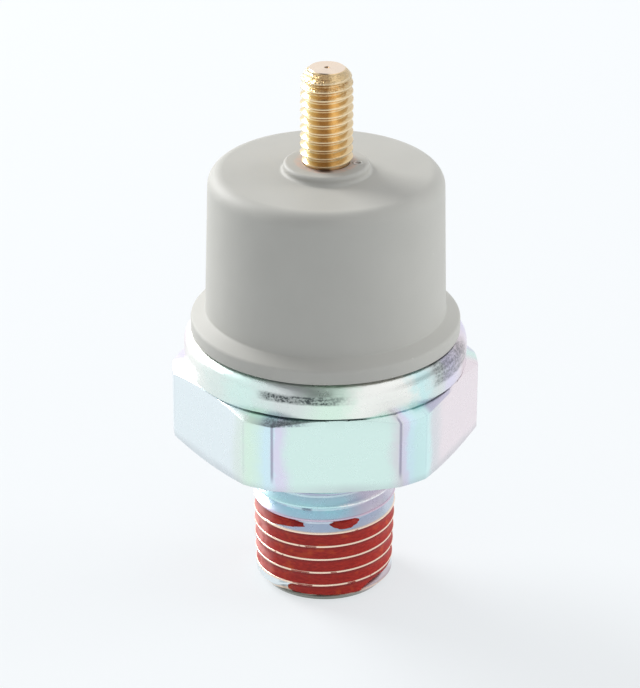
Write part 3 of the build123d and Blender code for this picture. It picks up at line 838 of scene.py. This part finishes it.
class Finish:
    """A node tree under construction, of a material or of the world."""

    def __init__(self, tree):
        self.tree = tree
        self.tree.nodes.clear()

    def node(self, kind, settings=None, inputs=None, output=0):
        made = self.tree.nodes.new(kind)
        for name, value in (settings or {}).items():
            setattr(made, name, value)
        for name, value in (inputs or {}).items():
            if isinstance(value, Value):
                self.tree.links.new(value.socket, made.inputs[name])
            else:
                made.inputs[name].default_value = value
        return Value(self, made.outputs[output]) if made.outputs else None

    def place(self):
        """Position on the piece, in millimetres."""
        point = self.node("ShaderNodeTexCoord", output="Object")
        return self.vector("MULTIPLY", point, (1 / MM,) * 3)

    def vector(self, operation, first, second):
        return self.node("ShaderNodeVectorMath", {"operation": operation}, {0: first, 1: second})

    def distance(self, point, centre):
        return self.vector("DISTANCE", point, centre).output("Value")

    def axes(self, point):
        split = self.node("ShaderNodeSeparateXYZ", inputs={"Vector": point})
        return [Value(self, socket) for socket in split.socket.node.outputs]

    def azimuth(self, point):
        """Degrees from the front flat, positive towards +X."""
        x, y, _ = self.axes(point)
        return x.maths("ARCTAN2", y * -1) * (180 / math.pi)

    def turns(self, point, crest_height, pitch):
        """Turns up a thread, whole on its crests."""
        _, _, z = self.axes(point)
        return (z - crest_height / MM) / (pitch / MM) - self.azimuth(point) / 360

    def noise(self, point, size, detail=2, roughness=0.5, squeeze=(1, 1, 1)):
        """Clouds of about one size in millimetres, from 0 to 1, finer along the squeezed axes."""
        squeezed = self.vector("MULTIPLY", point, squeeze)
        inputs = {"Vector": squeezed, "Scale": 1 / size, "Detail": detail, "Roughness": roughness}
        return self.node("ShaderNodeTexNoise", inputs=inputs)

    def ramp(self, value, stops):
        made = self.node("ShaderNodeValToRGB", inputs={"Fac": value})
        colours = made.socket.node.color_ramp
        colours.interpolation = "EASE"
        for _ in stops[2:]:
            colours.elements.new(0.5)
        for element, (place, colour) in zip(colours.elements, stops):
            element.position = place
            element.color = colour
        return made

    def round_ramp(self, degrees, stops):
        """Colours round the piece; each stop is (degrees, colour)."""
        return self.ramp(degrees / 360 + 0.5, [(place / 360 + 0.5, colour) for place, colour in stops])

    def mix(self, share, first, second):
        inputs = {0: share, 6: first, 7: second}
        return self.node("ShaderNodeMix", {"data_type": "RGBA"}, inputs, output=2)

    def layers(self, colour, coats):
        """The colour under coats of (share, colour), the lowest first."""
        for share, coat in coats:
            colour = self.mix(share, colour, coat)
        return colour

    def bump(self, height, depth, under=None):
        inputs = {"Height": height, "Distance": depth}
        if under:
            inputs["Normal"] = under
        return self.node("ShaderNodeBump", inputs=inputs)


def look(colour, roughness, relief, metallic=0, specular=0.5):
    """What a finish gives its Principled shader."""
    return {
        "Base Color": colour,
        "Metallic": metallic,
        "Roughness": roughness,
        "Specular IOR Level": specular,
        "Normal": relief,
    }


def finish(name, build):
    """Material from a function that builds its look."""
    material = bpy.data.materials.new(name)
    material.use_nodes = True
    made = Finish(material.node_tree)
    shader = made.node("ShaderNodeBsdfPrincipled", inputs=build(made))
    made.node("ShaderNodeOutputMaterial", inputs={"Surface": shader})
    return material


WHITE_CYAN = tone(234, 243, 246)
WHITE_LEAF = tone(227, 238, 233)
WARM_WHITE = tone(251, 251, 245)
PALE_GREY = tone(222, 228, 226)
LEAF = tone(222, 245, 229)
MINT = tone(219, 243, 236)
CYAN = tone(213, 243, 242)
SKY = tone(216, 241, 249)
LILAC = tone(227, 222, 242)
GREY_LILAC = tone(221, 222, 226)
PINK = tone(240, 229, 233)
CREAM = tone(252, 226, 204)

# Plating tints round the hexagon and the ring, in degrees, and up the stem, in shares of its length
HEX_TINTS = [
    (-180, MINT), (-152, CYAN), (-146, PINK), (-120, PINK), (-98, LILAC), (-88, WHITE_CYAN),
    (-44, WHITE_CYAN), (-38, WHITE_LEAF), (-33, LEAF), (-29, MINT), (-27, SKY), (-24.5, SKY), (-22, LILAC),
    (-17, MINT), (19, MINT), (24, GREY_LILAC), (26, LILAC), (28.5, SKY), (32, CYAN), (37, CYAN),
    (42, GREY_LILAC), (52, PINK), (84, PINK), (92, MINT), (98, LILAC), (120, WHITE_CYAN), (146, SKY),
    (152, LILAC), (180, MINT),
]
RING_TINTS = [
    (-180, WHITE_CYAN), (-130, MINT), (-95, PINK), (-75, WARM_WHITE), (-55, WHITE_LEAF), (-40, MINT),
    (-20, PALE_GREY), (-2, LEAF), (12, WARM_WHITE), (28, WARM_WHITE), (37, CYAN), (48, PALE_GREY),
    (56, LILAC), (72, PINK), (95, LILAC), (130, WARM_WHITE), (180, WHITE_CYAN),
]
STEM_TINTS = [
    (0, tone(210, 226, 216)), (0.04, WHITE_CYAN), (0.12, WHITE_CYAN), (0.5, tone(208, 218, 228)),
    (0.6, tone(206, 214, 230)), (0.66, tone(198, 236, 238)), (0.74, tone(208, 224, 232)),
    (0.82, tone(200, 240, 244)), (0.94, tone(198, 236, 240)), (1, PALE_GREY),
]

# Brass tints round the stud, in degrees, with painted reflections: pale on the left, a darker stripe left of the
# front and a bright band just right of it
STUD_TINTS_AND_REFLECTIONS = [
    (-180, tone(241, 209, 154)), (-100, tone(249, 226, 175)), (-65, tone(252, 236, 192)),
    (-53, tone(238, 219, 175)), (-43, tone(229, 203, 154)), (-33, tone(222, 193, 142)),
    (-25, tone(210, 180, 134)), (-17, tone(202, 169, 124)), (-4, tone(204, 171, 126)),
    (3, tone(228, 196, 146)), (10, tone(249, 217, 166)), (17, tone(253, 222, 171)),
    (25, tone(245, 213, 162)), (34, tone(228, 200, 154)), (44, tone(220, 194, 150)),
    (56, tone(223, 198, 156)), (85, tone(225, 203, 165)), (120, tone(241, 209, 154)),
]


def plating(made):
    """Bright zinc plate under a thin film whose tint drifts round the body; lengths in millimetres."""
    point = made.place()
    x, _, z = made.axes(point)
    degrees = made.azimuth(point)
    broad = made.noise(point, 5, 3) - 0.5
    fine = made.noise(point, 0.9, 3, 0.6) - 0.5
    speck = made.noise(point, 0.22, 2, 0.6)
    streaked = made.noise(point, 1.6, 4, 0.65, (1, 1, 7))
    drift = degrees + broad * 7 + fine * 3
    up_hexagon = z - STEM_LENGTH / MM
    up_ring = z - HEX_TOP / MM

    # Stem: crests pale from wear and sealant residue with a painted highlight, a painted glint on one crest, a
    # violet line and a dash on the neck, stains at its end, painted shade on its bottom chamfer and a painted
    # contact shadow at its foot
    turn = made.turns(point, PIPE_CREST_HEIGHT, PIPE_PITCH)
    crest = turn.off_half().rises(0.38, 0.44)
    # Painted glint along one crest, right of the front
    painted_glint = turn.near(6, 0.16, 0.06) * degrees.between(4, 12, 44, 56)
    neck_line = z.between(11.62, 11.7, 11.82, 11.9) * degrees.near(0, 40, 26)
    dash = degrees.near(-21, 6, 3) * z.near(9.62, 0.14, 0.06)
    # Painted shade on the bottom chamfer, but for the far left
    under = z.rises(1, 0.7) * (degrees.rises(-62, -44) + fine * 0.4)
    stained = z.rises(2.2, 1.6) * degrees.between(24, 40, 70, 90)
    stem = made.ramp((z - x * 0.02 + fine * 0.7) / (STEM_LENGTH / MM), STEM_TINTS)
    stem = made.layers(stem, (
        (degrees.rises(8, 36) * z.rises(8, 9.5), tone(222, 218, 228)),
        # Crests pale from wear and residue, with a painted highlight
        (crest * turn.between(-0.3, -0.1, 4.6, 4.9), CREAM),
        (crest * turn.between(4.6, 4.9, 5.1, 5.4) * 0.6, tone(212, 176, 196)),
        (painted_glint * (0.5 + speck.rises(0.4, 0.6)) * 0.7, tone(255, 255, 255)),
        (neck_line * 0.55, tone(158, 134, 176)),
        (dash * 0.7, tone(84, 96, 116)),
        (under.limit() * 0.95, tone(110, 108, 97)),
        (stained * 0.6, tone(190, 158, 166)),
        (z.between(0.66, 0.72, 0.8, 0.86) * 0.7, CREAM),
        # Painted contact shadow along the stem's foot
        (z.rises(0.3, 0.12) * 0.75, tone(96, 112, 96)),
    ))

    # Hexagon: a fine line of painted shade down each corner, painted shade on the lower edge, a speckled darker
    # patch on the top chamfer
    hexagon = made.round_ramp(drift, HEX_TINTS)
    corner = math.degrees(math.acos(HEX_FLAT_RADIUS / HEX_TURNED_RADIUS))
    side = (degrees / 60 + 0.5).maths("FRACT") * 60 - 30
    # Painted shade in a fine line down each corner edge, strongest at the front
    corner_shade_line = side.maths("ABSOLUTE").near(corner, 0.75, 0.15) * up_hexagon.rises(0.93, 2.13)
    corner_shade_line = corner_shade_line * up_ring.rises(-0.05, -0.35) * (0.15 + 0.85 * degrees.near(0, 29, 27))
    # Painted shade on the hexagon's lower edge
    shaded_low_edge = up_hexagon.between(-0.07, 0.08, 0.23, 1.23)
    chamfer = up_ring.between(-0.55, -0.45, -0.05, 0.01)
    # A speckled darker patch on the top chamfer, front left
    speckled_darker = degrees.between(-31, -26, -18, -8) * (0.4 + 0.6 * speck.rises(0.42, 0.6))
    facet = degrees.between(36, 40, 54, 60)

    # Ring: painted shade in the slot at its foot, and painted dark reflections on its roll
    ring = made.round_ramp(drift + fine * 8, RING_TINTS)
    # Painted shade in the slot at the ring's foot, strongest where it stays open
    slot = up_ring.between(-0.02, 0.01, 0.14, 0.17)
    open_slot = degrees.between(-42, -30, 6, 16) + degrees.rises(40, 52) * 0.8
    on_roll = up_ring.rises(1.05, 1.45)
    # Painted dark reflections on the roll at the front left and on the right, speckled and streaked
    front_dark_reflection = degrees.between(-34, -27, -6, 10) * up_ring.between(1.45, 1.7, 2.25, 2.5)
    painted_dark_reflection = (front_dark_reflection + degrees.between(42, 48, 70, 82) * 0.7) * on_roll
    painted_dark_reflection = painted_dark_reflection * (0.55 + 0.45 * streaked.rises(0.38, 0.54)) * (0.6 + 0.4 * speck.rises(0.4, 0.6))
    worn = (streaked * speck).rises(0.34, 0.5) * up_ring.rises(0.05, 0.55)

    colour = made.mix(up_ring.rises(-0.05, 0.25), hexagon, ring)
    colour = made.mix(up_hexagon.rises(-0.07, 0.03), stem, colour)
    colour = made.layers(colour, (
        (corner_shade_line * 0.75, tone(150, 146, 168)),
        (shaded_low_edge * (0.45 + broad) * 0.9, tone(186, 190, 196)),
        (chamfer * speckled_darker, tone(150, 164, 170)),
        (chamfer * facet * 0.75, tone(184, 180, 204)),
        (slot * (0.1 + 0.75 * open_slot), tone(52, 76, 80)),
        (painted_dark_reflection * 0.95, tone(54, 62, 64)),
        (worn * 0.25, tone(150, 165, 165)),
    ))
    relief = made.bump(made.noise(point, 1.8, 2), 0.02 * MM)
    relief = made.bump(speck, 0.003 * MM, under=relief)
    relief = made.bump(streaked * on_roll, 0.03 * MM, under=relief)
    return look(colour, 0.22 + 0.12 * made.noise(point, 1.2, 3) + 0.1 * painted_dark_reflection, relief, metallic=1)


def sealant(made):
    """Dried red thread sealant: orange where thin, with painted shade under each crest."""
    point = made.place()
    across = made.turns(point, PIPE_CREST_HEIGHT, PIPE_PITCH).maths("FRACT")
    broad = made.noise(point, 1.6, 3)
    fine = made.noise(point, 0.5, 4, 0.65, (1, 1, 3))
    # Painted shade in the band just under each crest
    shade_under_crest = across.rises(0.66, 0.86) * fine.rises(0.35, 0.55)
    pale = across.rises(0.1, 0.03) + across.rises(0.9, 0.97) * 0.5
    left = made.azimuth(point).between(-128, -96, -72, -48) * broad.rises(0.2, 0.6)
    colour = made.layers(tone(146, 26, 22), (
        (fine.rises(0.3, 0.7), tone(176, 44, 32)),
        (broad.rises(0.55, 0.72) * 0.7, tone(192, 74, 34)),
        (shade_under_crest * 0.75, tone(112, 26, 30)),
        (pale * 0.35, tone(214, 120, 104)),
        (left * 0.7, tone(222, 158, 152)),
    ))
    return look(colour, 0.42 + 0.2 * fine, made.bump(fine, 0.03 * MM), specular=0.3)


def cap_plastic(made):
    """Grey moulding with a faint mottle, a few pale specks, a flaw beside the stud with painted shade in its pit
    and painted light on its rim, a painted reflection of the brass round the stud's foot and painted shade in the
    gap in front of it.
    """
    point = made.place()
    mottle = made.noise(point, 4, 3)
    grain = made.noise(point, 0.12, 2)
    speck = made.noise(point, 0.5, 1)
    x, y, z = made.axes(point)
    # Painted shade in the flaw's pit and painted light on its rim
    flaw = made.distance(point, (2.8, -0.5, cap_high.z / MM))
    pit = flaw.rises(0.3, 0.12)
    rim = flaw.between(0.22, 0.34, 0.4, 0.52)
    radius = (x * x + y * y).maths("SQRT")
    on_boss = (z - cap_high.z / MM).rises(-0.42, -0.12)
    # Painted warm reflection of the brass stud on the boss round its foot
    brass_reflection = radius.rises(3.1, 2.6) * on_boss * (0.4 + 0.6 * speck.rises(0.35, 0.6))
    # Painted shade in the gap at the front of the stud's foot
    shade = radius.rises(2.72, 2.5) * on_boss * made.azimuth(point).between(-30, -14, 0, 14)
    colour = made.layers(tone(172, 171, 165), (
        (mottle, tone(180, 179, 173)),
        (speck.rises(0.8, 0.84) * 0.5, tone(215, 214, 208)),
        (pit * 0.7, tone(96, 92, 84)),
        (rim * 0.5, tone(226, 226, 220)),
        (brass_reflection * 0.45, tone(216, 172, 150)),
        (shade * 0.85, tone(74, 50, 38)),
    ))
    relief = made.bump(grain, 0.004 * MM)
    relief = made.bump(mottle, 0.03 * MM, under=relief)
    relief = made.bump(rim - pit, 0.1 * MM, under=relief)
    return look(colour, 0.5 + 0.08 * mottle, relief, specular=0.4)


def stud_brass(made):
    """Rolled brass thread with painted reflections round it and a painted highlight on its crests, torn near the
    tip, with painted shade in its centre pit.
    """
    point = made.place()
    _, _, z = made.axes(point)
    up_tip = z - stud_high.z / MM
    fine = made.noise(point, 0.5, 4, 0.6, (1, 1, 4))
    blotch = made.noise(point, 1.1, 3)
    # Crests bright with a painted highlight, fading near the tip
    crest = made.turns(point, STUD_CREST_HEIGHT, STUD_PITCH).off_half().rises(0.36, 0.46)
    crest = crest * up_tip.rises(-0.12, -0.32)
    # Painted shade in the centre pit
    pit = made.distance(point, (0, 0, stud_high.z / MM)).rises(0.32, 0.2)
    # Brass tints with painted reflections round the stud
    colour = made.round_ramp(made.azimuth(point) + (blotch - 0.5) * 14, STUD_TINTS_AND_REFLECTIONS)
    colour = made.layers(colour, (
        (crest * 0.5, tone(254, 236, 202)),
        ((1 - crest) * fine.rises(0.5, 0.7) * 0.35, tone(186, 140, 88)),
        (up_tip.rises(-0.08, -0.02) * 0.85, tone(252, 232, 214)),
        (pit * 0.8, tone(120, 84, 50)),
    ))
    near_tip = up_tip.between(-2.72, -0.92, -0.22, -0.07)
    relief = made.bump(made.noise(point, 0.35, 3, 0.6) * near_tip, 0.22 * MM)
    relief = made.bump(fine, 0.012 * MM, under=relief)
    return look(colour, 0.15 + 0.13 * fine, relief, metallic=1)


def metal(light, dark, roughness, grain, squeeze=(1, 1, 1)):
    """Plain metal of an inner piece, between two tones, with a grain in millimetres."""
    def build(made):
        point = made.place()
        cloud = made.noise(point, 8 * grain, 3)
        fine = made.noise(point, grain, 3, 0.6, squeeze)
        colour = made.mix((cloud + fine) * 0.5, dark, light)
        return look(colour, roughness + 0.15 * fine, made.bump(fine, 0.01 * MM), metallic=1)

    return build


def turned_metal(light, dark, roughness):
    """Turned metal, with fine rings along the piece's axis."""
    return metal(light, dark, roughness, 0.3, (0.4, 0.4, 6))


def rubber(made):
    point = made.place()
    dust = made.noise(point, 0.7, 4, 0.7)
    colour = made.mix(dust.rises(0.45, 0.8), tone(30, 30, 31), tone(62, 61, 60))
    return look(colour, 0.62 + 0.2 * dust, made.bump(dust, 0.02 * MM))


def card_laminate(made):
    """Paper laminate with layers across its thickness and fibres along it."""
    point = made.place()
    fibre = made.noise(point, 0.9, 4, 0.65, (4, 4, 0.6))
    layer = made.noise(point, 0.9, 1, squeeze=(0.2, 9, 0.2))
    colour = made.mix(fibre, tone(122, 74, 40), tone(164, 112, 66))
    colour = made.mix(layer.rises(0.5, 0.7) * 0.4, colour, tone(94, 54, 30))
    return look(colour, 0.5 + 0.2 * fibre, made.bump(fibre, 0.02 * MM))


def resistance_wire(made):
    """Fine wire wound side by side, with a dark line between its turns."""
    point = made.place()
    _, _, z = made.axes(point)
    turn = (z / (WINDING_PITCH / MM)).off_half()
    fine = made.noise(point, 0.2, 3)
    colour = made.mix(fine, tone(168, 150, 128), tone(206, 190, 166))
    colour = made.mix(turn.rises(0.36, 0.5) * 0.7, colour, tone(80, 66, 52))
    return look(colour, 0.3 + 0.2 * fine, made.bump(turn, 0.03 * MM), metallic=1)


STEEL = tone(196, 197, 198), tone(160, 162, 165)
PRESSED = tone(188, 188, 184), tone(150, 151, 150)
SPRING = tone(140, 141, 146), tone(98, 99, 104)
BRASS = tone(226, 186, 112), tone(196, 150, 80)
BRONZE = tone(214, 160, 110), tone(176, 118, 74)

LOOKS = {
    "plated_steel": plating,
    "sealant": sealant,
    "cap_plastic": cap_plastic,
    "stud_brass": stud_brass,
    "brass": turned_metal(*BRASS, 0.25),
    "rubber": rubber,
    "bronze": metal(*BRONZE, 0.28, 0.5),
    "pressed_steel": metal(*PRESSED, 0.38, 0.4),
    "turned_steel": turned_metal(*STEEL, 0.26),
    "spring_steel": metal(*SPRING, 0.3, 0.2),
    "pressed_brass": metal(*BRASS, 0.33, 0.4),
    "card_laminate": card_laminate,
    "resistance_wire": resistance_wire,
}
FINISHES = {slot: finish(slot, build) for slot, build in LOOKS.items()}

SLOTS = {subpart["node"]: subpart["material_slot"] for subpart in frame["record"]["subparts"]}


def dress(piece, node, body="housing"):
    """Gives a new piece its finish and its body, in place of the node that it stands for."""
    slot = SLOTS[node]
    piece.data.materials.clear()
    piece.data.materials.append(FINISHES[slot])
    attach(piece, body)
    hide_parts(node)


for node, slot in SLOTS.items():
    for holder in frame["nodes"][node].material_slots:
        holder.material = FINISHES[slot]

dress(threaded_body(), "threaded_body")
dress(thread_sealant(), "thread_sealant")
dress(terminal_stud(), "terminal_stud")
dress(cap(), "cap")
range_coil = range_spring()
dress(range_coil, "range_spring")
coil_height = range_high.z - range_low.z
travel = next(joint for joint in frame["joints"] if joint["name"] == "pusher_slide")["range_m"][1]
(coil_height - travel) / coil_height
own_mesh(range_coil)
lever_coil, lever_leg = lever_spring()
dress(lever_coil, "lever_spring")
dress(lever_leg, "lever_spring", body="lever")


# Studio

FLOOR_TONE = tone(249, 252, 254)
FLOOR_LIT_TONE = tone(214, 217, 219)
FLOOR_SHOWN = 0.67
KEY_PLACE = (-0.646, 0.635, 0.447)
SIDE_PLACE = (0.9, 0.08, 0.18)


def floor():
    deselect()
    bpy.ops.mesh.primitive_circle_add(vertices=96, radius=1.6, fill_type="NGON")
    ground = bpy.context.object
    ground.name = "floor"
    material = bpy.data.materials.new("floor")
    material.use_nodes = True
    made = Finish(material.node_tree)
    lit = made.node("ShaderNodeBsdfDiffuse", inputs={"Color": FLOOR_LIT_TONE})
    shown = made.node("ShaderNodeEmission", inputs={"Color": FLOOR_TONE})
    rays = made.node("ShaderNodeLightPath", output="Is Camera Ray")
    rays = rays.maths("MAXIMUM", rays.output("Is Glossy Ray"))
    mixed = made.node("ShaderNodeMixShader", inputs={0: rays * FLOOR_SHOWN, 1: lit, 2: shown})
    made.node("ShaderNodeOutputMaterial", inputs={"Surface": mixed})
    ground.data.materials.append(material)


def sky():
    """Two soft white banks, left and right, with a dark gap in front between them."""
    world = bpy.data.worlds.new("studio")
    world.use_nodes = True
    made = Finish(world.node_tree)
    direction = made.node("ShaderNodeTexCoord", output="Generated")
    x, y, up = made.axes(direction)
    across = x.maths("ARCSINE") * (180 / math.pi)
    gap = across.between(-32, -18, -2, 10)
    edge = across.between(48, 58, 72, 85)
    dark = (gap * 0.82 + edge * 0.4) * up.rises(0.02, 0.25) * y.rises(0.5, 0.15)
    camera = made.node("ShaderNodeLightPath", output="Is Camera Ray")
    glossy = camera.output("Is Glossy Ray")
    strength = (0.92 + 0.08 * up) * (0.78 + 0.22 * glossy) - dark * (0.12 + 0.88 * glossy)
    strength = strength + (1 - glossy) * x * 0.16
    shown = made.node("ShaderNodeBackground", inputs={"Color": FLOOR_TONE})
    given = made.node("ShaderNodeBackground", inputs={"Color": tone(250, 252, 255), "Strength": strength})
    mixed = made.node("ShaderNodeMixShader", inputs={0: camera, 1: given, 2: shown})
    made.node("ShaderNodeOutputWorld", inputs={"Surface": mixed})
    bpy.context.scene.world = world


def placed(name, data, place):
    holder = bpy.data.objects.new(name, data)
    bpy.context.scene.collection.objects.link(holder)
    holder.location = place
    return holder


def lamp(name, place, size, power, seen_in_metal=True):
    light = bpy.data.lights.new(name, "AREA")
    light.shape = "DISK"
    light.size = size
    light.energy = power
    holder = placed(name, light, place)
    holder.visible_glossy = seen_in_metal
    aim = Vector((0, 0, AIM_HEIGHT)) - Vector(place)
    holder.rotation_euler = aim.to_track_quat("-Z", "Y").to_euler()


def camera():
    right = Vector((math.cos(VIEW_AZIMUTH), math.sin(VIEW_AZIMUTH), 0))
    back = Vector((
        math.sin(VIEW_AZIMUTH) * math.cos(VIEW_ELEVATION),
        -math.cos(VIEW_AZIMUTH) * math.cos(VIEW_ELEVATION),
        math.sin(VIEW_ELEVATION),
    ))
    target = right * AIM_SIDE + Vector((0, 0, AIM_HEIGHT))
    view = bpy.data.cameras.new("camera")
    view.lens = LENS
    view.clip_start = 0.01
    holder = placed("camera", view, target + back * VIEW_DISTANCE)
    turned = (-back).to_track_quat("-Z", "Y")
    holder.rotation_euler = (turned.to_matrix() @ Matrix.Rotation(VIEW_ROLL, 3, "Z")).to_euler()
    bpy.context.scene.camera = holder


floor()
sky()
lamp("key", KEY_PLACE, size=0.55, power=9.3)
lamp("key_fill", KEY_PLACE, size=0.55, power=3.9, seen_in_metal=False)
lamp("side", SIDE_PLACE, size=0.7, power=5.3, seen_in_metal=False)
camera()
bpy.context.scene.view_settings.view_transform = "Standard"
